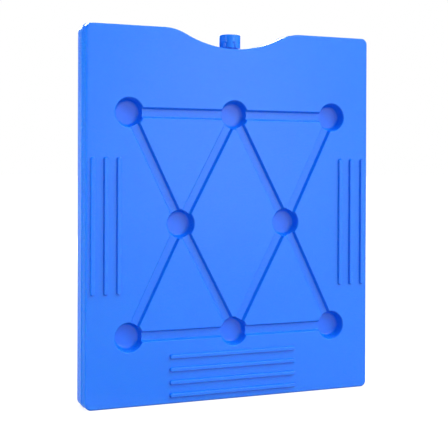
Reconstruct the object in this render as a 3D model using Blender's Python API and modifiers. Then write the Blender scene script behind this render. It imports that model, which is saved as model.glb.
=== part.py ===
# Reusable ice pack: a hard cooling plate of blown polyethylene with its filler cap.
# Metres, +Z up. The pack stands on its short edge and its front faces -Y.

import math

import bmesh
import bpy
from mathutils import Matrix, Vector

# Outline of the pack, seen from the front
WIDTH = 0.251
HEIGHT = 0.302
CORNER_RADIUS = 0.0050
DIP_HALF_WIDTH = 0.0608
DIP_DEPTH = 0.0148
SHOULDER_RADIUS = 0.040

# Thickness, as two mould halves that meet at the parting line
FRONT_DEPTH = 0.0114
BACK_DEPTH = 0.0156
SIDE_DRAFT = math.radians(2.0)
EDGE_RADIUS = 0.0016
BEAD_HEIGHT = 0.0003
BEAD_HALF_WIDTH = 0.0007

# Kiss-off hollows, pressed in from both faces until the two walls meet
SIDE_MARGIN = 0.0354
TOP_MARGIN = 0.0693
BOTTOM_MARGIN = 0.0553
MIDDLE_SPACING = 0.0936
HOLLOW_RADIUS = 0.0118
HOLLOW_DRAFT = math.radians(9.0)
HOLLOW_LIP = 0.0010
HOLLOW_FILLET = 0.0032
WEB = 0.0036

# Grooves from hollow to hollow
GROOVE_WIDTH = 0.0086
GROOVE_DEPTH = 0.0030
GROOVE_DRAFT = math.radians(22.0)
GROOVE_LIP = 0.0007
GROOVE_FILLET = 0.0006

# Ribs that stand on the faces
RIB_WIDTH = 0.0039
RIB_HEIGHT = 0.0019
RIB_CREST = 0.0018
RIB_DRAFT = math.radians(15.0)
RIB_ROOT = 0.0010
SIDE_RIB_COUNT = 3
SIDE_RIB_PITCH = 0.0106
SIDE_RIB_INSET = 0.0057
SIDE_RIB_LENGTH = 0.1083
SIDE_RIB_DROP = 0.0006
FOOT_RIB_COUNT = 4
FOOT_RIB_PITCH = 0.0103
FOOT_RIB_INSET = 0.0070
FOOT_RIB_LENGTH = 0.1124

# Filler neck in the dip, and the cap that is pressed over it
NECK_RADIUS = 0.0071
NECK_BORE_RADIUS = 0.0050
NECK_BORE_DEPTH = 0.0180
CAP_RADIUS = 0.0089
CAP_HEIGHT = 0.0109
CAP_TOP_WALL = 0.0018
CAP_ROUNDING = 0.0009
CAP_CLEARANCE = 0.0003
PLUG_LENGTH = 0.0050
GRIP_COUNT = 8
GRIP_HEIGHT = 0.0056
GRIP_RADIUS = 0.0024
GRIP_DEPTH = 0.0008

# How finely curves are cut into straight steps
CORNER_STEPS = 5
SHOULDER_STEPS = 6
BOWL_STEPS = 16
ROUNDING_STEPS = 3
LIP_STEPS = 2
FLOOR_STEPS = 3
HOLLOW_STEPS = 24
NECK_STEPS = 40
RIB_END_STEPS = 6
RIB_TOP_STEPS = 3
GRIP_STEPS = 16

# How far a cutter stands out of the face, and how far over it the cutter's lip starts
CUTTER_MARGIN = 0.002
LIP_START = 0.00002

# Places that follow from the sizes
THICKNESS = FRONT_DEPTH + BACK_DEPTH
FRONT_Y = -THICKNESS / 2
BACK_Y = THICKNESS / 2
PARTING_Y = FRONT_Y + FRONT_DEPTH
BOWL_RADIUS = (DIP_HALF_WIDTH**2 + DIP_DEPTH**2) / (2 * DIP_DEPTH) - SHOULDER_RADIUS
DIP_ANGLE = math.asin(DIP_HALF_WIDTH / (BOWL_RADIUS + SHOULDER_RADIUS))
DIP_FLOOR = HEIGHT - DIP_DEPTH
COLUMN = WIDTH / 2 - SIDE_MARGIN
TOP_ROW = HEIGHT - TOP_MARGIN
BOTTOM_ROW = BOTTOM_MARGIN
MIDDLE_ROW = (TOP_ROW + BOTTOM_ROW) / 2
RIB_SLOPE = RIB_HEIGHT * math.tan(RIB_DRAFT)
RIB_ROUNDING = ((RIB_WIDTH - RIB_CREST) / 2 - RIB_SLOPE) / math.tan(math.pi / 4 - RIB_DRAFT / 2)
BOWL_RISE = BOWL_RADIUS - math.sqrt(BOWL_RADIUS**2 - CAP_RADIUS**2)
CAP_FOOT = DIP_FLOOR + BOWL_RISE + BEAD_HEIGHT + CAP_CLEARANCE
CAP_TOP = CAP_FOOT + CAP_HEIGHT
NECK_TOP = CAP_TOP - CAP_TOP_WALL - CAP_CLEARANCE
NECK_ROOT = NECK_TOP - NECK_BORE_DEPTH


def clear_scene():
    for obj in list(bpy.data.objects):
        bpy.data.objects.remove(obj, do_unlink=True)


def new_collection(name):
    collection = bpy.data.collections.new(name)
    bpy.context.scene.collection.children.link(collection)
    return collection


def plastic(name, colour, roughness):
    material = bpy.data.materials.new(name)
    material.use_nodes = True
    material.diffuse_color = (*colour, 1.0)
    shader = material.node_tree.nodes["Principled BSDF"]
    shader.inputs["Base Color"].default_value = (*colour, 1.0)
    shader.inputs["Roughness"].default_value = roughness
    shader.inputs["Metallic"].default_value = 0.0
    return material


def add_object(name, mesh, collection):
    obj = bpy.data.objects.new(name, mesh)
    collection.objects.link(obj)
    return obj


def hide_helper(obj):
    obj.hide_render = True
    obj.display_type = "WIRE"
    return obj


def arc(centre, radius, start, end, steps):
    """Points on an arc in a plane, from one angle in degrees to another."""
    turns = [math.radians(start + (end - start) * k / steps) for k in range(steps + 1)]
    return [(centre[0] + radius * math.cos(t), centre[1] + radius * math.sin(t)) for t in turns]


# The plate

def outline(inset, foot):
    """The pack's outline as (x, z), drawn in by inset at the sides and top and by foot at the base."""
    side = WIDTH / 2 - inset
    top = HEIGHT - inset
    corner = CORNER_RADIUS - inset
    inner = side - corner
    shoulder_z = HEIGHT - SHOULDER_RADIUS
    shoulder = SHOULDER_RADIUS - inset
    turn = math.degrees(DIP_ANGLE)
    bowl_centre = (0.0, DIP_FLOOR + BOWL_RADIUS)
    bowl = arc(bowl_centre, BOWL_RADIUS + inset, -90 + turn, -90 - turn, BOWL_STEPS)
    points = arc((-inner, foot + corner), corner, 180, 270, CORNER_STEPS)
    points += arc((inner, foot + corner), corner, 270, 360, CORNER_STEPS)
    points += arc((inner, top - corner), corner, 0, 90, CORNER_STEPS)
    points += arc((DIP_HALF_WIDTH, shoulder_z), shoulder, 90, 90 + turn, SHOULDER_STEPS)
    points += bowl[1:-1]
    points += arc((-DIP_HALF_WIDTH, shoulder_z), shoulder, 90 - turn, 90, SHOULDER_STEPS)
    points += arc((-inner, top - corner), corner, 90, 180, CORNER_STEPS)
    return points


def rounded_edge(face_y, inward):
    """Sections (y, inset, foot) round the edge of a face, from the face to the side wall."""
    sections = []
    for k in range(ROUNDING_STEPS + 1):
        turn = math.radians(90 * k / ROUNDING_STEPS)
        y = face_y + inward * EDGE_RADIUS * (1 - math.cos(turn))
        rounding = EDGE_RADIUS * (1 - math.sin(turn))
        draft = abs(PARTING_Y - y) * math.tan(SIDE_DRAFT)
        sections.append((y, draft + rounding, rounding))
    return sections


def plate_sections():
    """Sections from the front face over the parting bead to the back face."""
    bead_inset = BEAD_HALF_WIDTH * math.tan(SIDE_DRAFT)
    bead = [
        (PARTING_Y - BEAD_HALF_WIDTH, bead_inset, 0.0),
        (PARTING_Y, -BEAD_HEIGHT, 0.0),
        (PARTING_Y + BEAD_HALF_WIDTH, bead_inset, 0.0),
    ]
    front = rounded_edge(FRONT_Y, 1)
    back = rounded_edge(BACK_Y, -1)
    return front + bead + back[::-1]


def loft(name, rings, collection):
    """A solid through rings of as many points each, closed by a face at both ends."""
    bm = bmesh.new()
    loops = [[bm.verts.new(point) for point in ring] for ring in rings]
    for near, far in zip(loops, loops[1:]):
        for k in range(len(near)):
            after = (k + 1) % len(near)
            bm.faces.new((near[k], near[after], far[after], far[k]))
    bm.faces.new(loops[0])
    bm.faces.new(loops[-1])
    bmesh.ops.recalc_face_normals(bm, faces=bm.faces)
    mesh = bpy.data.meshes.new(name)
    bm.to_mesh(mesh)
    bm.free()
    return add_object(name, mesh, collection)


def make_plate(collection):
    rings = [[(x, y, z) for x, z in outline(inset, foot)] for y, inset, foot in plate_sections()]
    return loft("pack_body", rings, collection)


# Recesses that a drafted tool leaves: a rounded lip, a sloping wall and a filleted floor

def recess_side(half_width, depth, draft, lip, fillet, fillet_steps):
    """Half the section as (distance from the middle, height over the face), from lip to floor."""
    lip_centre = half_width + lip * math.tan(math.pi / 4 - draft / 2)
    points = []
    for k in range(LIP_STEPS + 1):
        turn = (math.pi / 2 - draft) * k / LIP_STEPS
        drop = lip * (1 - math.cos(turn)) - LIP_START
        points.append((lip_centre - lip * math.sin(turn), -drop))
    wall_foot = depth - fillet + fillet * math.sin(draft)
    floor_edge = half_width - wall_foot * math.tan(draft) - fillet * math.cos(draft)
    for k in range(fillet_steps + 1):
        turn = draft + (math.pi / 2 - draft) * k / fillet_steps
        reach = floor_edge + fillet * math.cos(turn)
        points.append((reach, -(depth - fillet + fillet * math.sin(turn))))
    return [(lip_centre, CUTTER_MARGIN)] + points


def turned(name, profile, steps, collection):
    """A solid turned about local Z from a profile of (radius, z) that runs down its outer side."""
    mesh = bpy.data.meshes.new(name)
    points = [(radius, 0.0, z) for radius, z in profile]
    mesh.from_pydata(points, [(k, k + 1) for k in range(len(points) - 1)], [])
    obj = add_object(name, mesh, collection)
    screw = obj.modifiers.new("Turn", "SCREW")
    screw.axis = "Z"
    screw.angle = math.tau
    screw.steps = steps
    screw.render_steps = steps
    screw.use_merge_vertices = True
    screw.merge_threshold = 0.000001
    return obj


def hollow_places():
    """Where the hollows' axes cross a face, as (x, z), by name."""
    places = {}
    for row, z in (("top", TOP_ROW), ("bottom", BOTTOM_ROW)):
        for column, x in (("left", -COLUMN), ("centre", 0.0), ("right", COLUMN)):
            places[row + "_" + column] = (x, z)
    places["middle_left"] = (-MIDDLE_SPACING / 2, MIDDLE_ROW)
    places["middle_right"] = (MIDDLE_SPACING / 2, MIDDLE_ROW)
    return places


GROOVE_ENDS = (
    ("top_left", "top_centre"),
    ("top_centre", "top_right"),
    ("bottom_left", "bottom_centre"),
    ("bottom_centre", "bottom_right"),
    ("top_left", "middle_left"),
    ("top_centre", "middle_left"),
    ("top_centre", "middle_right"),
    ("top_right", "middle_right"),
    ("bottom_left", "middle_left"),
    ("bottom_centre", "middle_left"),
    ("bottom_centre", "middle_right"),
    ("bottom_right", "middle_right"),
)


def add_hollows(face, face_y, outward, half_depth, collection):
    depth = half_depth - WEB / 2
    side = recess_side(HOLLOW_RADIUS, depth, HOLLOW_DRAFT, HOLLOW_LIP, HOLLOW_FILLET, FLOOR_STEPS)
    profile = [(0.0, CUTTER_MARGIN)] + side + [(0.0, -depth)]
    for place, (x, z) in hollow_places().items():
        hollow = turned(face + "_hollow_" + place, profile, HOLLOW_STEPS, collection)
        hollow.location = (x, face_y, z)
        hollow.rotation_euler = (-outward * math.pi / 2, 0.0, 0.0)
        hide_helper(hollow)


def add_groove(name, start, end, face_y, outward, collection):
    """A bar with the groove's section, laid along the face from one place to the other."""
    side = recess_side(
        GROOVE_WIDTH / 2, GROOVE_DEPTH, GROOVE_DRAFT, GROOVE_LIP, GROOVE_FILLET, LIP_STEPS
    )
    section = side + [(-x, z) for x, z in reversed(side)]
    along = Vector((end[0] - start[0], 0.0, end[1] - start[1]))
    bm = bmesh.new()
    near = bm.faces.new([bm.verts.new((x, 0.0, z)) for x, z in section])
    grown = bmesh.ops.extrude_face_region(bm, geom=[near])
    far = [item for item in grown["geom"] if isinstance(item, bmesh.types.BMVert)]
    bmesh.ops.translate(bm, verts=far, vec=(0.0, along.length, 0.0))
    bmesh.ops.recalc_face_normals(bm, faces=bm.faces)
    mesh = bpy.data.meshes.new(name)
    bm.to_mesh(mesh)
    bm.free()
    groove = add_object(name, mesh, collection)
    out = Vector((0.0, outward, 0.0))
    run = along.normalized()
    turn = Matrix((run.cross(out), run, out)).transposed().to_4x4()
    groove.matrix_world = Matrix.Translation((start[0], face_y, start[1])) @ turn
    return hide_helper(groove)


def add_grooves(face, face_y, outward, collection):
    places = hollow_places()
    for start, end in GROOVE_ENDS:
        name = face + "_groove_" + start + "_to_" + end
        add_groove(name, places[start], places[end], face_y, outward, collection)


# Ribs

def rib_sections():
    """Sections (height over the face, inset) from the rib's root in the wall to its top."""
    sections = [(-RIB_ROOT, -RIB_ROOT * math.tan(RIB_DRAFT))]
    for k in range(RIB_TOP_STEPS + 1):
        turn = RIB_DRAFT + (math.pi / 2 - RIB_DRAFT) * k / RIB_TOP_STEPS
        height = RIB_HEIGHT - RIB_ROUNDING * (1 - math.sin(turn))
        sections.append((height, (RIB_WIDTH - RIB_CREST) / 2 - RIB_ROUNDING * math.cos(turn)))
    return sections


def add_rib(name, centre, length, upright, face_y, outward, collection):
    """A drafted rib with round ends and a rounded top, rooted in the face that carries it."""
    reach = length / 2 - RIB_WIDTH / 2
    rings = []
    for height, inset in rib_sections():
        radius = RIB_WIDTH / 2 - inset
        ring = arc((reach, 0.0), radius, -90, 90, RIB_END_STEPS)
        ring += arc((-reach, 0.0), radius, 90, 270, RIB_END_STEPS)
        if upright:
            ring = [(-z, x) for x, z in ring]
        y = face_y + outward * height
        rings.append([(centre[0] + x, y, centre[1] + z) for x, z in ring])
    return hide_helper(loft(name, rings, collection))


def add_ribs(face, face_y, outward, collection):
    middle = MIDDLE_ROW - SIDE_RIB_DROP
    for k in range(SIDE_RIB_COUNT):
        x = WIDTH / 2 - SIDE_RIB_INSET - k * SIDE_RIB_PITCH
        for side, sign in (("left", -1), ("right", 1)):
            name = f"{face}_rib_{side}_{k + 1}"
            add_rib(name, (sign * x, middle), SIDE_RIB_LENGTH, True, face_y, outward, collection)
    for k in range(FOOT_RIB_COUNT):
        z = FOOT_RIB_INSET + k * FOOT_RIB_PITCH
        name = f"{face}_rib_foot_{k + 1}"
        add_rib(name, (0.0, z), FOOT_RIB_LENGTH, False, face_y, outward, collection)


# Filler neck and cap

def add_neck(collection):
    foot = DIP_FLOOR - EDGE_RADIUS - CUTTER_MARGIN
    profile = [(0.0, NECK_TOP), (NECK_RADIUS, NECK_TOP), (NECK_RADIUS, foot), (0.0, foot)]
    neck = turned("filler_neck", profile, NECK_STEPS, collection)
    neck.location = (0.0, PARTING_Y, 0.0)
    return hide_helper(neck)


def add_neck_bore(collection):
    mouth = NECK_TOP + CUTTER_MARGIN
    profile = [(0.0, mouth), (NECK_BORE_RADIUS, mouth), (NECK_BORE_RADIUS, NECK_ROOT), (0.0, NECK_ROOT)]
    bore = turned("filler_bore", profile, NECK_STEPS, collection)
    bore.location = (0.0, PARTING_Y, 0.0)
    return hide_helper(bore)


def cap_profile():
    """The cap's half section: top, skirt, the hollow for the neck and the plug in its bore."""
    ceiling = CAP_TOP - CAP_TOP_WALL
    skirt_inside = NECK_RADIUS + CAP_CLEARANCE
    plug = NECK_BORE_RADIUS - CAP_CLEARANCE
    shoulder = (CAP_RADIUS - CAP_ROUNDING, CAP_TOP - CAP_ROUNDING)
    outside = [(0.0, CAP_TOP)] + arc(shoulder, CAP_ROUNDING, 90, 0, ROUNDING_STEPS)
    inside = [(skirt_inside, CAP_FOOT), (skirt_inside, ceiling), (plug, ceiling)]
    bottom = [(plug, ceiling - PLUG_LENGTH), (0.0, ceiling - PLUG_LENGTH)]
    return outside + [(CAP_RADIUS, CAP_FOOT)] + inside + bottom


def add_grip(name, turn, collection):
    """A round-topped cutter for one finger flute in the cap's skirt."""
    top = CAP_FOOT + GRIP_HEIGHT
    dome = arc((0.0, top - GRIP_RADIUS), GRIP_RADIUS, 90, 0, ROUNDING_STEPS)
    foot = CAP_FOOT - CUTTER_MARGIN
    profile = [(0.0, top)] + dome[1:] + [(GRIP_RADIUS, foot), (0.0, foot)]
    grip = turned(name, profile, GRIP_STEPS, collection)
    reach = CAP_RADIUS + GRIP_RADIUS - GRIP_DEPTH
    grip.location = (reach * math.cos(turn), PARTING_Y + reach * math.sin(turn), 0.0)
    return hide_helper(grip)


def boolean(obj, name, operation, collection):
    modifier = obj.modifiers.new(name, "BOOLEAN")
    modifier.operation = operation
    modifier.operand_type = "COLLECTION"
    modifier.collection = collection
    modifier.solver = "EXACT"
    return modifier


def shade(obj):
    obj.data.shade_smooth()
    obj.data.set_sharp_from_angle(angle=math.radians(35))


def main():
    clear_scene()
    pack = new_collection("Ice pack")
    raised = new_collection("Raised forms")
    cutters = new_collection("Cutters")
    grips = new_collection("Cap grips")

    body = make_plate(pack)
    for face, face_y, outward, half_depth in (
        ("front", FRONT_Y, -1, FRONT_DEPTH),
        ("back", BACK_Y, 1, BACK_DEPTH),
    ):
        add_ribs(face, face_y, outward, raised)
        add_hollows(face, face_y, outward, half_depth, cutters)
        add_grooves(face, face_y, outward, cutters)
    add_neck(raised)
    add_neck_bore(cutters)
    boolean(body, "Ribs and neck", "UNION", raised)
    boolean(body, "Hollows and grooves", "DIFFERENCE", cutters)
    body.data.materials.append(plastic("Pack plastic", (0.045, 0.20, 0.93), 0.35))
    shade(body)

    cap = turned("filler_cap", cap_profile(), NECK_STEPS, pack)
    cap.location = (0.0, PARTING_Y, 0.0)
    for k in range(GRIP_COUNT):
        add_grip(f"cap_grip_{k + 1}", math.tau * k / GRIP_COUNT - math.pi / 2, grips)
    boolean(cap, "Finger flutes", "DIFFERENCE", grips)
    cap.data.materials.append(plastic("Cap plastic", (0.01, 0.11, 0.82), 0.22))
    shade(cap)


main()
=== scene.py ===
import math

import bmesh
import bpy
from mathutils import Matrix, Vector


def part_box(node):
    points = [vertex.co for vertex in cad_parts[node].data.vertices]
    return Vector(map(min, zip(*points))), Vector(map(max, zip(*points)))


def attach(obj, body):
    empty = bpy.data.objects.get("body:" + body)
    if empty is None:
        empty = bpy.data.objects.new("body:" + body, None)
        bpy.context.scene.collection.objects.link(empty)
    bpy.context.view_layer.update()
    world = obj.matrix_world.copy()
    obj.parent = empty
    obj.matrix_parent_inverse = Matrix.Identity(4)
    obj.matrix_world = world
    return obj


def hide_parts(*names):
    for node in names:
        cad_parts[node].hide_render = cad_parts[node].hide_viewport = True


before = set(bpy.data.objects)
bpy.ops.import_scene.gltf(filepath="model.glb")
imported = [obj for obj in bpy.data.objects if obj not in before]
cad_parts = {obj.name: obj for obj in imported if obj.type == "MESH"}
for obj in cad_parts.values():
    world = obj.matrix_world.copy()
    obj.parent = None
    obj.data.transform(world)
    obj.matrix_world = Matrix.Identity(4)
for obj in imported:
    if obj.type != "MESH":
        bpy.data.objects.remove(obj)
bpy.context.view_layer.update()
bodyLowest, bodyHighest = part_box("pack_body")
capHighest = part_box("filler_cap")[1]
tiny = 0.00001  # how near a point has to be to count as lying in a plane
smoothAngle = 40  # sharper edges than this stay sharp
print("frame loaded")


# Picking and drawing

def pickNothing():
    active = bpy.context.view_layer.objects.active
    if active and active.mode != "OBJECT":
        bpy.ops.object.mode_set(mode="OBJECT")
    bpy.ops.object.select_all(action="DESELECT")


def pick(piece):
    pickNothing()
    piece.select_set(True)
    bpy.context.view_layer.objects.active = piece


def edit(piece):
    pick(piece)
    bpy.ops.object.mode_set(mode="EDIT")


def stopEditing():
    bpy.ops.object.mode_set(mode="OBJECT")


def choosePoints(test):
    bpy.ops.mesh.select_mode(type="VERT")
    bpy.ops.mesh.select_all(action="DESELECT")
    mesh = bpy.context.object.data
    bm = bmesh.from_edit_mesh(mesh)
    for point in bm.verts:
        point.select = test(point.co)
    bm.select_flush(True)
    bmesh.update_edit_mesh(mesh)


def chooseEdges(test):
    bpy.ops.mesh.select_mode(type="EDGE")
    bpy.ops.mesh.select_all(action="DESELECT")
    mesh = bpy.context.object.data
    bm = bmesh.from_edit_mesh(mesh)
    for edge in bm.edges:
        edge.select = all(test(point.co) for point in edge.verts)
    bm.select_flush_mode()
    bmesh.update_edit_mesh(mesh)


def penDown(name, place):  # one point, left in edit mode, from which lines and arcs are drawn
    pickNothing()
    bpy.ops.mesh.primitive_plane_add(size=0.001, location=(0, 0, 0))
    piece = bpy.context.object
    piece.name = name
    bpy.ops.object.mode_set(mode="EDIT")
    bpy.ops.mesh.select_mode(type="VERT")
    bpy.ops.mesh.select_all(action="SELECT")
    bpy.ops.mesh.merge(type="CENTER")
    bpy.ops.transform.translate(value=place)
    return piece


def drawLine(across, up):
    bpy.ops.mesh.extrude_region_move(TRANSFORM_OT_translate={"value": (across, 0, up)})


def drawArc(centre, degrees, steps):  # anticlockwise as seen from the front
    bpy.ops.mesh.spin(steps=steps, angle=math.radians(degrees), center=centre, axis=(0, 1, 0))


def fillOutline():
    bpy.ops.mesh.select_all(action="SELECT")
    bpy.ops.mesh.remove_doubles(threshold=tiny)
    bpy.ops.mesh.edge_face_add()


def turnRound(centre, axis, steps):  # the drawn half section, turned once round
    bpy.ops.mesh.select_all(action="SELECT")
    bpy.ops.mesh.spin(steps=steps, angle=math.tau, center=centre, axis=axis)
    bpy.ops.mesh.select_all(action="SELECT")
    bpy.ops.mesh.remove_doubles(threshold=tiny)
    bpy.ops.mesh.normals_make_consistent(inside=False)


def copyTo(piece, name, move, quarterTurn=False):
    pick(piece)
    bpy.ops.object.duplicate()
    copy = bpy.context.object
    copy.name = name
    if quarterTurn:
        copy.rotation_euler = (0, math.pi / 2, 0)
    copy.location = move
    bpy.ops.object.transform_apply(location=True, rotation=True, scale=True)
    return copy


def throwAway(pieces):
    for piece in pieces:
        bpy.data.objects.remove(piece, do_unlink=True)


def gather(name, pieces):
    group = bpy.data.collections.new(name)
    bpy.context.scene.collection.children.link(group)
    for piece in pieces:
        group.objects.link(piece)
    return group


def combine(piece, operation, others, name):
    group = gather(name, others)
    pick(piece)
    boolean = piece.modifiers.new(name, "BOOLEAN")
    boolean.operation = operation
    boolean.operand_type = "COLLECTION"
    boolean.collection = group
    boolean.solver = "EXACT"
    bpy.ops.object.modifier_apply(modifier=name)
    throwAway(others)
    bpy.data.collections.remove(group)


def smooth(piece):
    pick(piece)
    bpy.ops.object.shade_smooth_by_angle(angle=math.radians(smoothAngle))
    weights = piece.modifiers.new("Flat faces stay flat", "WEIGHTED_NORMAL")
    weights.mode = "FACE_AREA"
    weights.weight = 100
    weights.keep_sharp = True
    bpy.ops.object.modifier_apply(modifier=weights.name)


# The blown body, with its sizes in metres and its angles in degrees

plate = {
    "cornerRadius": 0.0050,
    "dipHalfWidth": 0.0608,
    "dipDepth": 0.0148,
    "shoulderRadius": 0.040,
    "frontDepth": 0.0114,
    "backDepth": 0.0156,
    "draft": 2.0,
    "edgeRadius": 0.0016,
    "beadHeight": 0.0003,
    "beadHalfWidth": 0.0007,
    "beadSlope": 0.55,  # how high the bead still is half way down its side
    "beadSteps": 4,
    "cornerSteps": 12,
    "shoulderSteps": 16,
    "bowlSteps": 40,
    "edgeSteps": 6,
}

ribs = {
    "width": 0.0039,
    "height": 0.0019,
    "crest": 0.0018,  # the flat that is left on top
    "draft": 15.0,
    "root": 0.0010,  # how deep it stands in the wall
    "sideCount": 3,
    "sidePitch": 0.0106,
    "sideInset": 0.0057,
    "sideLength": 0.1083,
    "sideDrop": 0.0006,  # how far their middle is under the middle row of hollows
    "footCount": 4,
    "footPitch": 0.0103,
    "footInset": 0.0070,
    "footLength": 0.1124,
    "endSteps": 14,
    "roundingSteps": 6,
}

hollows = {
    "sideMargin": 0.0354,
    "topMargin": 0.0693,
    "bottomMargin": 0.0553,
    "middleSpacing": 0.0936,
    "radius": 0.0118,
    "draft": 9.0,
    "lip": 0.0010,
    "fillet": 0.0032,
    "web": 0.0036,
    "steps": 80,
    "curveSteps": 6,
}

grooves = {
    "width": 0.0086,
    "depth": 0.0030,
    "draft": 22.0,
    "lip": 0.0007,
    "fillet": 0.0006,
    "curveSteps": 6,
}

neck = {"radius": 0.0071, "boreRadius": 0.0050, "boreDepth": 0.0180, "steps": 72}

standOut = 0.002  # how far a cutter stands out of the face
lipStart = 0.00002  # the same for the start of its lip

width = bodyHighest.x - bodyLowest.x - 2 * plate["beadHeight"]
frontY = bodyLowest.y + ribs["height"]
backY = bodyHighest.y - ribs["height"]
partingY = frontY + plate["frontDepth"]
height = max(bodyHighest.z, capHighest.z) - plate["beadHeight"]
dipFloor = height - plate["dipDepth"]
bowlRadius = (
    (plate["dipHalfWidth"] ** 2 + plate["dipDepth"] ** 2) / (2 * plate["dipDepth"])
    - plate["shoulderRadius"]
)
dipTurn = math.degrees(math.asin(plate["dipHalfWidth"] / (bowlRadius + plate["shoulderRadius"])))


def inPlane(y):
    return lambda place: abs(place.y - y) < tiny


def spreadRing(y, outward):  # moves a ring of the outline in or out, with the foot left level
    choosePoints(inPlane(y))
    bpy.ops.transform.resize(
        value=((width + 2 * outward) / width, 1, (height + outward) / height),
        center_override=(0, 0, 0),
    )


def makePlate():
    side = width / 2
    corner = plate["cornerRadius"]
    steps = plate["cornerSteps"]
    shoulder = plate["shoulderRadius"]
    dip = plate["dipHalfWidth"]
    piece = penDown("body", (-side + corner, partingY, 0))
    drawLine(width - 2 * corner, 0)
    drawArc((side - corner, partingY, corner), 90, steps)
    drawLine(0, height - 2 * corner)
    drawArc((side - corner, partingY, height - corner), 90, steps)
    drawLine(-(side - corner - dip), 0)
    drawArc((dip, partingY, height - shoulder), dipTurn, plate["shoulderSteps"])
    drawArc((0, partingY, dipFloor + bowlRadius), -2 * dipTurn, plate["bowlSteps"])
    drawArc((-dip, partingY, height - shoulder), dipTurn, plate["shoulderSteps"])
    drawLine(-(side - corner - dip), 0)
    drawArc((-side + corner, partingY, height - corner), 90, steps)
    drawLine(0, -(height - 2 * corner))
    drawArc((-side + corner, partingY, corner), 90, steps)
    fillOutline()
    bpy.ops.mesh.extrude_region_move(TRANSFORM_OT_translate={"value": (0, -plate["frontDepth"], 0)})
    choosePoints(inPlane(partingY))
    bpy.ops.mesh.extrude_region_move(TRANSFORM_OT_translate={"value": (0, plate["backDepth"], 0)})
    slope = math.tan(math.radians(plate["draft"]))
    spreadRing(frontY, -plate["frontDepth"] * slope)
    spreadRing(backY, -plate["backDepth"] * slope)
    for y in (frontY, backY):
        chooseEdges(inPlane(y))
        bpy.ops.mesh.bevel(
            offset=plate["edgeRadius"], segments=plate["edgeSteps"], profile=0.5, clamp_overlap=True
        )
    chooseEdges(inPlane(partingY))
    bpy.ops.mesh.bevel(
        offset=plate["beadHalfWidth"], segments=plate["beadSteps"], profile=0.5, clamp_overlap=True
    )
    half = plate["beadHalfWidth"] / 2
    spreadRing(partingY, plate["beadHeight"])
    for y in (partingY - half, partingY + half):
        spreadRing(y, plate["beadSlope"] * plate["beadHeight"])
    bpy.ops.mesh.select_all(action="SELECT")
    bpy.ops.mesh.normals_make_consistent(inside=False)
    stopEditing()
    return piece


def makeRib(name, length):  # level, with its middle at the origin and its top towards the front
    slope = math.tan(math.radians(ribs["draft"]))
    radius = ribs["width"] / 2 - ribs["height"] * slope  # at the top, before it is rounded
    reach = length / 2 - ribs["width"] / 2
    piece = penDown(name, (-reach, -ribs["height"], -radius))
    drawLine(2 * reach, 0)
    drawArc((reach, -ribs["height"], 0), 180, ribs["endSteps"])
    drawLine(-2 * reach, 0)
    drawArc((-reach, -ribs["height"], 0), 180, ribs["endSteps"])
    fillOutline()
    rise = ribs["height"] + ribs["root"]
    bpy.ops.mesh.extrude_region_move(TRANSFORM_OT_translate={"value": (0, rise, 0)})
    foot = radius + rise * slope
    bpy.ops.transform.resize(
        value=((reach + foot) / (reach + radius), 1, foot / radius), center_override=(0, 0, 0)
    )
    chooseEdges(inPlane(-ribs["height"]))
    rounding = radius - ribs["crest"] / 2
    bpy.ops.mesh.bevel(offset=rounding, segments=ribs["roundingSteps"], profile=0.5)
    bpy.ops.mesh.select_all(action="SELECT")
    bpy.ops.mesh.normals_make_consistent(inside=False)
    stopEditing()
    return piece


def mirrorInY(piece):
    pick(piece)
    piece.scale = (1, -1, 1)
    bpy.ops.object.transform_apply(location=False, rotation=False, scale=True)
    edit(piece)
    bpy.ops.mesh.select_all(action="SELECT")
    bpy.ops.mesh.normals_make_consistent(inside=False)
    stopEditing()


def makeRibs(y, front):
    sideRib = makeRib("sideRib", ribs["sideLength"])
    footRib = makeRib("footRib", ribs["footLength"])
    if not front:
        mirrorInY(sideRib)
        mirrorInY(footRib)
    made = []
    middle = middleRow - ribs["sideDrop"]
    for k in range(ribs["sideCount"]):
        x = width / 2 - ribs["sideInset"] - k * ribs["sidePitch"]
        made.append(copyTo(sideRib, "rib", (x, y, middle), quarterTurn=True))
        made.append(copyTo(sideRib, "rib", (-x, y, middle), quarterTurn=True))
    for k in range(ribs["footCount"]):
        made.append(copyTo(footRib, "rib", (0, y, ribs["footInset"] + k * ribs["footPitch"])))
    throwAway([sideRib, footRib])
    return made


# Recesses: a rounded lip, a sloping wall and a filleted floor

column = width / 2 - hollows["sideMargin"]
topRow = height - hollows["topMargin"]
bottomRow = hollows["bottomMargin"]
middleRow = (topRow + bottomRow) / 2
places = {
    "topLeft": (-column, topRow),
    "topCentre": (0, topRow),
    "topRight": (column, topRow),
    "middleLeft": (-hollows["middleSpacing"] / 2, middleRow),
    "middleRight": (hollows["middleSpacing"] / 2, middleRow),
    "bottomLeft": (-column, bottomRow),
    "bottomCentre": (0, bottomRow),
    "bottomRight": (column, bottomRow),
}
runs = (
    ("topLeft", "topCentre"),
    ("topCentre", "topRight"),
    ("bottomLeft", "bottomCentre"),
    ("bottomCentre", "bottomRight"),
    ("topLeft", "middleLeft"),
    ("topCentre", "middleLeft"),
    ("topCentre", "middleRight"),
    ("topRight", "middleRight"),
    ("bottomLeft", "middleLeft"),
    ("bottomCentre", "middleLeft"),
    ("bottomCentre", "middleRight"),
    ("bottomRight", "middleRight"),
)


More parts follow.
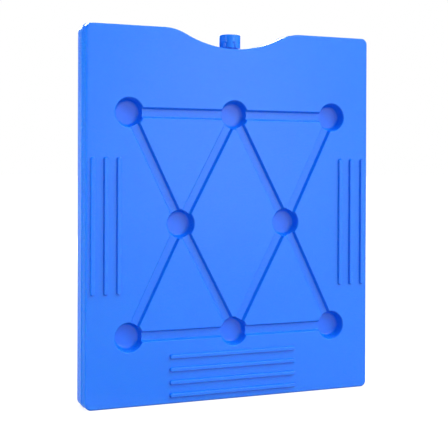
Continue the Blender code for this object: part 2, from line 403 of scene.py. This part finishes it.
def drawRecessSide(name, halfWidth, depth, sizes):  # from above the lip down to the floor, in XZ
    draft = math.radians(sizes["draft"])
    lip = sizes["lip"]
    fillet = sizes["fillet"]
    lipCentre = halfWidth + lip * math.tan(math.pi / 4 - draft / 2)
    wallFoot = depth - fillet + fillet * math.sin(draft)
    floorEdge = halfWidth - wallFoot * math.tan(draft) - fillet * math.cos(draft)
    turn = 90 - sizes["draft"]
    piece = penDown(name, (lipCentre, 0, standOut))
    drawLine(0, lipStart - standOut)
    drawArc((lipCentre, 0, lipStart - lip), turn, sizes["curveSteps"])
    lipFoot = (lipCentre - lip * math.cos(draft), lipStart - lip * (1 - math.sin(draft)))
    wallEnd = (floorEdge + fillet * math.cos(draft), -wallFoot)
    drawLine(wallEnd[0] - lipFoot[0], wallEnd[1] - lipFoot[1])
    drawArc((floorEdge, 0, -depth + fillet), -turn, sizes["curveSteps"])
    return piece, floorEdge, lipCentre


def makeHollow(name, halfDepth):  # its axis is Z and its mouth is up
    depth = halfDepth - hollows["web"] / 2
    piece, floorEdge, lipCentre = drawRecessSide(name, hollows["radius"], depth, hollows)
    drawLine(-floorEdge, 0)
    choosePoints(lambda place: place.z > standOut - tiny)
    drawLine(-lipCentre, 0)
    turnRound((0, 0, 0), (0, 0, 1), hollows["steps"])
    stopEditing()
    return piece


def makeGroove(name, length):  # it runs along Y from the origin, with its mouth up
    piece = drawRecessSide(name, grooves["width"] / 2, grooves["depth"], grooves)[0]
    stopEditing()
    pick(piece)
    mirror = piece.modifiers.new("Other side", "MIRROR")
    mirror.merge_threshold = tiny
    bpy.ops.object.modifier_apply(modifier=mirror.name)
    edit(piece)
    choosePoints(lambda place: place.z > standOut - tiny)
    bpy.ops.mesh.edge_face_add()
    choosePoints(lambda place: place.z < -grooves["depth"] + tiny)
    bpy.ops.mesh.edge_face_add()
    fillOutline()
    bpy.ops.mesh.extrude_region_move(TRANSFORM_OT_translate={"value": (0, length, 0)})
    bpy.ops.mesh.select_all(action="SELECT")
    bpy.ops.mesh.normals_make_consistent(inside=False)
    stopEditing()
    return piece


def makeCutters(y, outward, halfDepth):
    tip = -outward * math.pi / 2  # turns the mouth from +Z to the face
    made = []
    hollow = makeHollow("hollow", halfDepth)
    for place in places.values():
        copy = copyTo(hollow, "hollowCutter", (0, 0, 0))
        copy.rotation_euler = (tip, 0, 0)
        copy.location = (place[0], y, place[1])
        pick(copy)
        bpy.ops.object.transform_apply(location=True, rotation=True, scale=False)
        made.append(copy)
    throwAway([hollow])
    for start, end in runs:
        across = places[end][0] - places[start][0]
        up = places[end][1] - places[start][1]
        groove = makeGroove("grooveCutter", math.hypot(across, up))
        groove.rotation_euler = (tip, 0, 0)
        bpy.ops.object.transform_apply(location=False, rotation=True, scale=False)
        lean = math.atan2(up, across)
        along = -math.pi / 2 if outward < 0 else math.pi / 2
        groove.rotation_euler = (0, -lean - along, 0)
        groove.location = (places[start][0], y, places[start][1])
        bpy.ops.object.transform_apply(location=True, rotation=True, scale=False)
        made.append(groove)
    return made


def makeBody():
    body = makePlate()
    print("plate drawn")
    neckTop = capHighest.z - cap["topWall"] - cap["clearance"]
    pickNothing()
    bpy.ops.mesh.primitive_cylinder_add(
        vertices=neck["steps"],
        radius=neck["radius"],
        depth=neckTop - dipFloor + 2 * standOut,
        location=(0, partingY, (neckTop + dipFloor) / 2 - standOut),
    )
    stub = bpy.context.object
    bpy.ops.object.transform_apply(location=True, rotation=True, scale=True)
    raised = makeRibs(frontY, True) + makeRibs(backY, False) + [stub]
    combine(body, "UNION", raised, "raised")
    print("ribs and neck joined")
    pickNothing()
    bpy.ops.mesh.primitive_cylinder_add(
        vertices=neck["steps"],
        radius=neck["boreRadius"],
        depth=neck["boreDepth"] + standOut,
        location=(0, partingY, neckTop - neck["boreDepth"] / 2 + standOut / 2),
    )
    bore = bpy.context.object
    bpy.ops.object.transform_apply(location=True, rotation=True, scale=True)
    cutters = makeCutters(frontY, -1, plate["frontDepth"])
    cutters += makeCutters(backY, 1, plate["backDepth"]) + [bore]
    combine(body, "DIFFERENCE", cutters, "recesses")
    smooth(body)
    print("hollows and grooves cut:", len(body.data.polygons), "faces")
    return body


# The cap

cap = {
    "radius": 0.0089,
    "topWall": 0.0018,
    "rounding": 0.0009,
    "clearance": 0.0003,
    "plugLength": 0.0050,
    "gripCount": 8,
    "gripHeight": 0.0056,
    "gripRadius": 0.0024,
    "gripDepth": 0.0008,
    "steps": 96,
    "roundingSteps": 6,
    "gripSteps": 48,
    "gripTopSteps": 8,
}


def makeGrip(foot):  # a round-ended rod that cuts one flute into the side of the cap
    top = foot + cap["gripHeight"]
    piece = penDown("grip", (0, 0, top))
    drawArc((0, 0, top - cap["gripRadius"]), -90, cap["gripTopSteps"])
    drawLine(0, foot - standOut - top + cap["gripRadius"])
    drawLine(-cap["gripRadius"], 0)
    turnRound((0, 0, 0), (0, 0, 1), cap["gripSteps"])
    stopEditing()
    return piece


def makeCap():
    top = capHighest.z
    bowlRise = bowlRadius - math.sqrt(bowlRadius**2 - cap["radius"] ** 2)
    foot = dipFloor + bowlRise + plate["beadHeight"] + cap["clearance"]
    ceiling = top - cap["topWall"]
    plug = neck["boreRadius"] - cap["clearance"]
    inside = neck["radius"] + cap["clearance"]
    piece = penDown("cap", (0, 0, top))
    drawLine(cap["radius"] - cap["rounding"], 0)
    drawArc((cap["radius"] - cap["rounding"], 0, top - cap["rounding"]), -90, cap["roundingSteps"])
    drawLine(0, foot - top + cap["rounding"])
    drawLine(inside - cap["radius"], 0)
    drawLine(0, ceiling - foot)
    drawLine(plug - inside, 0)
    drawLine(0, -cap["plugLength"])
    drawLine(-plug, 0)
    turnRound((0, 0, 0), (0, 0, 1), cap["steps"])
    stopEditing()
    grip = makeGrip(foot)
    grips = []
    for k in range(cap["gripCount"]):
        turn = math.tau * k / cap["gripCount"] - math.pi / 2
        reach = cap["radius"] + cap["gripRadius"] - cap["gripDepth"]
        grips.append(copyTo(grip, "grip", (reach * math.cos(turn), reach * math.sin(turn), 0)))
    throwAway([grip])
    combine(piece, "DIFFERENCE", grips, "flutes")
    pick(piece)
    piece.location = (0, partingY, 0)
    bpy.ops.object.transform_apply(location=True, rotation=True, scale=True)
    smooth(piece)
    print("cap turned")
    return piece


# Plastics

bodyPlastic = {  # the glow is light that spreads inside the plastic
    "colour": (0.004, 0.186, 0.87, 1),
    "deeper": (0.003, 0.172, 0.84, 1),
    "roughness": (0.24, 0.30),
    "glow": 0.45,
    "glowRadius": (0.1, 0.35, 1.0),
    "glowScale": 0.0028,
    "grain": 2600,
    "grainDepth": 0.00001,
    "grainDetail": 3,
    "waves": 26,
    "waveDepth": 0.0002,
    "waveDetail": 2,
}

capPlastic = {
    "colour": (0.004, 0.190, 0.88, 1),
    "deeper": (0.003, 0.176, 0.85, 1),
    "roughness": (0.14, 0.18),
    "glow": 0.15,
    "glowRadius": (0.3, 0.7, 1.0),
    "glowScale": 0.002,
    "grain": 1500,
    "grainDepth": 0.000004,
    "grainDetail": 3,
    "waves": 120,
    "waveDepth": 0.00003,
    "waveDetail": 2,
}


def link(tree, start, end):
    tree.links.new(start, end)


def makePlastic(name, look):
    material = bpy.data.materials.new(name)
    material.use_nodes = True
    tree = material.node_tree
    shader = tree.nodes["Principled BSDF"]
    where = tree.nodes.new("ShaderNodeTexCoord")

    clouds = tree.nodes.new("ShaderNodeTexNoise")
    clouds.inputs["Scale"].default_value = look["waves"]
    clouds.inputs["Detail"].default_value = look["waveDetail"]
    link(tree, where.outputs["Object"], clouds.inputs["Vector"])
    tint = tree.nodes.new("ShaderNodeMix")
    tint.data_type = "RGBA"
    tint.inputs["A"].default_value = look["colour"]
    tint.inputs["B"].default_value = look["deeper"]
    link(tree, clouds.outputs["Fac"], tint.inputs["Factor"])
    link(tree, tint.outputs["Result"], shader.inputs["Base Color"])

    grain = tree.nodes.new("ShaderNodeTexNoise")
    grain.inputs["Scale"].default_value = look["grain"]
    grain.inputs["Detail"].default_value = look["grainDetail"]
    link(tree, where.outputs["Object"], grain.inputs["Vector"])
    sheen = tree.nodes.new("ShaderNodeMapRange")
    sheen.inputs["To Min"].default_value = look["roughness"][0]
    sheen.inputs["To Max"].default_value = look["roughness"][1]
    link(tree, grain.outputs["Fac"], sheen.inputs["Value"])
    link(tree, sheen.outputs["Result"], shader.inputs["Roughness"])

    swell = tree.nodes.new("ShaderNodeBump")
    swell.inputs["Distance"].default_value = look["waveDepth"]
    link(tree, clouds.outputs["Fac"], swell.inputs["Height"])
    pores = tree.nodes.new("ShaderNodeBump")
    pores.inputs["Distance"].default_value = look["grainDepth"]
    link(tree, grain.outputs["Fac"], pores.inputs["Height"])
    link(tree, swell.outputs["Normal"], pores.inputs["Normal"])
    link(tree, pores.outputs["Normal"], shader.inputs["Normal"])

    shader.inputs["Subsurface Weight"].default_value = look["glow"]
    shader.inputs["Subsurface Radius"].default_value = look["glowRadius"]
    shader.inputs["Subsurface Scale"].default_value = look["glowScale"]
    return material


body = makeBody()
body.data.materials.append(makePlastic("Blown blue plastic", bodyPlastic))
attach(body, "root")
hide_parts("pack_body")

fillerCap = makeCap()
fillerCap.data.materials.append(makePlastic("Glossy blue plastic", capPlastic))
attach(fillerCap, "root")
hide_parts("filler_cap")
print("plastics laid on")


# Floor, light and camera

studio = {
    "floorSize": 60,
    "floorColour": (0.38, 0.38, 0.38, 1),  # as it throws light back
    "floorShade": (0.34, 0.34, 0.34, 1),  # as it is seen, under its glow
    "floorGlow": (0.80, 1.0),  # near the object and far from it
    "floorReach": (0.25, 2.5),
    "frontLight": 1.50,  # the floor before the object, as the face mirrors it
    "frontSide": (0, -1, 0),
    "skyLight": 1.40,
    "skyDark": 0.10,
    "skyFocus": 2.0,  # a higher power draws the light closer to its side
    "skySide": (0.45, -0.65, 0.61),  # where the light comes from
    "screenLight": 0.80,  # the white screen behind the object
    "screenSide": (0, 1, -0.16),
    "screenEdge": (0.955, 0.975),  # how straight a ray has to go there, from its soft edge inwards
}

# Only a mirrored lamp shows in the gloss of the object
lamps = {
    "key": {
        "place": (1.10, -1.20, 1.50),
        "aim": (0, 0, 0.15),
        "size": 2.2,
        "power": 41,
        "mirrored": False,
    },
    "soft": {
        "place": (0.60, -1.48, 0.27),
        "aim": (0, 0, 0.20),
        "size": 0.5,
        "power": 0.85,
        "mirrored": True,
    },
    "edge": {
        "place": (-1.30, -0.70, 0.35),
        "aim": (0, 0, 0.15),
        "size": 0.35,
        "power": 1.5,
        "mirrored": True,
    },
    "spark": {
        "place": (0.60, -1.48, 0.55),
        "aim": (0, 0, 0.30),
        "size": 0.20,
        "power": 0.22,
        "mirrored": True,
    },
    "back": {
        "place": (0.30, 1.80, 0.90),
        "aim": (0, 0, 0.15),
        "size": 1.2,
        "power": 22,
        "mirrored": True,
    },
    "fill": {
        "place": (-1.75, 0.35, 0.45),
        "aim": (0, 0, 0.13),
        "size": 1.2,
        "power": 30,
        "mirrored": False,
    },
}

view = {
    "place": (-0.3338, -0.7810, 0.1874),
    "turn": 22.91,  # degrees, as are the dip and the roll
    "dip": 0.364,
    "roll": 0.195,
    "lens": 81.98,  # millimetres
    "shift": -0.1057,
    "nearest": 0.01,
    "farthest": 50,
}


def pair(tree, operation, first, second):  # sums with an output and an output or a number
    node = tree.nodes.new("ShaderNodeMath")
    node.operation = operation
    link(tree, first, node.inputs[0])
    if isinstance(second, float):
        node.inputs[1].default_value = second
    else:
        link(tree, second, node.inputs[1])
    return node.outputs[0]


def seenDirectly(tree):  # 1 for what the camera or a clear piece looks at
    rays = tree.nodes.new("ShaderNodeLightPath")
    return pair(tree, "MAXIMUM", rays.outputs["Is Camera Ray"], rays.outputs["Is Transmission Ray"])


def seenOrMirrored(tree):
    rays = tree.nodes.new("ShaderNodeLightPath")
    return pair(tree, "MAXIMUM", seenDirectly(tree), rays.outputs["Is Glossy Ray"])


# 1 straight towards a side and 0 square to it; turned is -1 for a direction that points back
def facing(tree, direction, side, turned=1):
    node = tree.nodes.new("ShaderNodeVectorMath")
    node.operation = "DOT_PRODUCT"
    node.inputs[1].default_value = [turned * value for value in side]
    link(tree, direction, node.inputs[0])
    return node.outputs["Value"]


def screen(tree, direction, turned=1):  # 1 where a ray meets the white screen
    edge = tree.nodes.new("ShaderNodeMapRange")
    edge.inputs["From Min"].default_value = studio["screenEdge"][0]
    edge.inputs["From Max"].default_value = studio["screenEdge"][1]
    link(tree, facing(tree, direction, studio["screenSide"], turned), edge.inputs["Value"])
    return edge.outputs["Result"]


def farGlow(tree):  # grows whiter with the distance from the object
    where = tree.nodes.new("ShaderNodeTexCoord")
    distance = tree.nodes.new("ShaderNodeVectorMath")
    distance.operation = "LENGTH"
    link(tree, where.outputs["Object"], distance.inputs[0])
    far = tree.nodes.new("ShaderNodeMapRange")
    far.inputs["From Min"].default_value = studio["floorReach"][0]
    far.inputs["From Max"].default_value = studio["floorReach"][1]
    far.inputs["To Min"].default_value = studio["floorGlow"][0]
    far.inputs["To Max"].default_value = studio["floorGlow"][1]
    link(tree, distance.outputs["Value"], far.inputs["Value"])
    return far.outputs["Result"]


def mirroredGlow(tree, far):  # what the object mirrors of the floor before and behind it
    ray = tree.nodes.new("ShaderNodeNewGeometry")
    behind = screen(tree, ray.outputs["Incoming"], turned=-1)
    behind = pair(tree, "MULTIPLY", behind, studio["screenLight"])
    before = facing(tree, ray.outputs["Incoming"], studio["frontSide"], turned=-1)
    before = pair(tree, "GREATER_THAN", before, 0.0)
    before = pair(tree, "MULTIPLY", before, studio["frontLight"])
    return pair(tree, "MULTIPLY", far, pair(tree, "MAXIMUM", behind, before))


def choose(tree, share, first, second):  # the second where the share is 1
    mix = tree.nodes.new("ShaderNodeMixShader")
    link(tree, share, mix.inputs[0])
    link(tree, first.outputs[0], mix.inputs[1])
    link(tree, second.outputs[0], mix.inputs[2])
    return mix


def makeFloor():
    pickNothing()
    bpy.ops.mesh.primitive_plane_add(size=studio["floorSize"], location=(0, 0, bodyLowest.z))
    floor = bpy.context.object
    floor.name = "floor"
    bpy.ops.object.transform_apply(location=True, rotation=True, scale=True)
    material = bpy.data.materials.new("Pale floor")
    material.use_nodes = True
    tree = material.node_tree
    tree.nodes.remove(tree.nodes["Principled BSDF"])
    plain = tree.nodes.new("ShaderNodeBsdfDiffuse")
    plain.inputs["Color"].default_value = studio["floorColour"]
    shade = tree.nodes.new("ShaderNodeBsdfDiffuse")
    shade.inputs["Color"].default_value = studio["floorShade"]
    glow = tree.nodes.new("ShaderNodeEmission")
    sheen = tree.nodes.new("ShaderNodeEmission")
    far = farGlow(tree)
    link(tree, far, glow.inputs["Strength"])
    link(tree, mirroredGlow(tree, far), sheen.inputs["Strength"])
    both = tree.nodes.new("ShaderNodeAddShader")
    link(tree, glow.outputs[0], both.inputs[0])
    link(tree, shade.outputs[0], both.inputs[1])
    seen = choose(tree, seenDirectly(tree), sheen, both)
    mix = choose(tree, seenOrMirrored(tree), plain, seen)
    link(tree, mix.outputs[0], tree.nodes["Material Output"].inputs["Surface"])
    floor.data.materials.append(material)


def makeAir():
    world = bpy.data.worlds.new("Studio air")
    bpy.context.scene.world = world
    world.use_nodes = True
    tree = world.node_tree
    where = tree.nodes.new("ShaderNodeTexCoord")
    lit = facing(tree, where.outputs["Generated"], studio["skySide"])
    lit = pair(tree, "POWER", pair(tree, "MAXIMUM", lit, 0.0), studio["skyFocus"])
    lit = pair(tree, "MULTIPLY", lit, studio["skyLight"])
    lit = pair(tree, "ADD", lit, studio["skyDark"])
    white = pair(tree, "MULTIPLY", screen(tree, where.outputs["Generated"]), studio["screenLight"])
    lit = pair(tree, "MAXIMUM", lit, white)
    air = tree.nodes["Background"]
    air.inputs["Color"].default_value = (1, 1, 1, 1)
    link(tree, pair(tree, "MAXIMUM", lit, seenDirectly(tree)), air.inputs["Strength"])


def aimAt(place, aim):
    across = aim[0] - place[0]
    along = aim[1] - place[1]
    up = aim[2] - place[2]
    tilt = math.atan2(math.hypot(across, along), -up)
    return (tilt, 0, math.atan2(along, across) - math.pi / 2)


def makeLamps():
    for name, lamp in lamps.items():
        bpy.ops.object.light_add(type="AREA", location=lamp["place"])
        light = bpy.context.object
        light.name = name
        light.data.shape = "DISK"
        light.data.size = lamp["size"]
        light.data.energy = lamp["power"]
        light.visible_glossy = lamp["mirrored"]
        light.rotation_euler = aimAt(lamp["place"], lamp["aim"])


def makeCamera():
    bpy.ops.object.camera_add(location=view["place"])
    camera = bpy.context.object
    camera.rotation_euler = (
        math.radians(90 - view["dip"]),
        -math.radians(view["roll"]),
        -math.radians(view["turn"]),
    )
    camera.data.lens = view["lens"]
    camera.data.shift_y = view["shift"]
    camera.data.clip_start = view["nearest"]
    camera.data.clip_end = view["farthest"]
    bpy.context.scene.camera = camera


makeFloor()
makeAir()
makeLamps()
makeCamera()
bpy.context.scene.view_settings.view_transform = "Standard"
pickNothing()
print("studio set")
